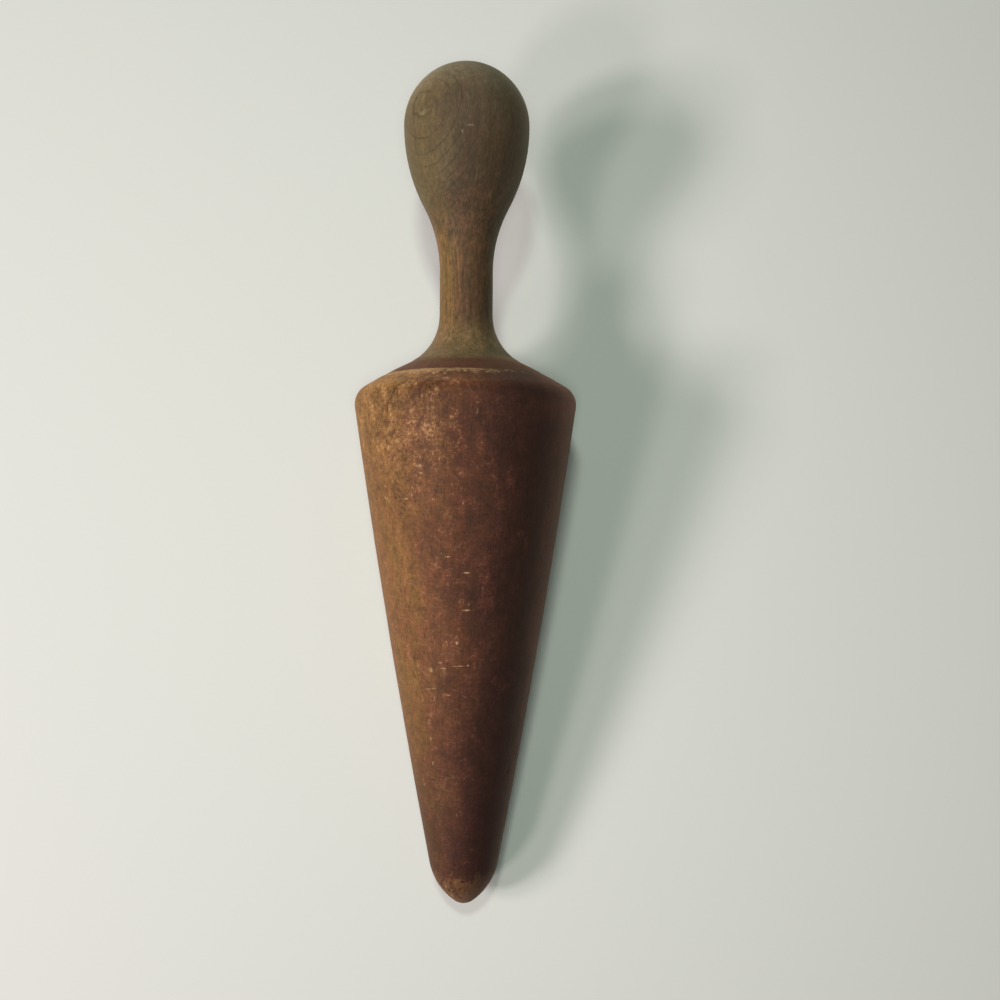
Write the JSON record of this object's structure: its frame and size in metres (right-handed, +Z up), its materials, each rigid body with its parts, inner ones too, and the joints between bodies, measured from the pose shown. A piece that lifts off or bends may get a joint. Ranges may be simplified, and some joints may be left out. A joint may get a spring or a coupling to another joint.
{
  "type": "wooden masher",
  "caption": "Turned wooden cone masher with a rounded nose, a bevelled shoulder, a slim waisted neck and a bulb grip, lying on its side.",
  "frame": {"origin": "on the table under the middle of the masher's bounding box; the masher lies on its side", "axes": "+Z up from the table, +Y along the masher from tip to bulb (its turning axis rises 8.7 degrees towards the bulb), +X to the right seen from the tip"},
  "size_m": [0.0654, 0.2452, 0.0649],
  "materials": {
    "cone_wood": "old red-brown stained beech, worn to bare wood along its edges, matt to satin",
    "handle_wood": "old olive-brown oiled beech, handled smooth, matt to satin"
  },
  "bodies": {
    "root": {"cone": "cone_wood", "handle": "handle_wood"}
  },
  "joints": []
}
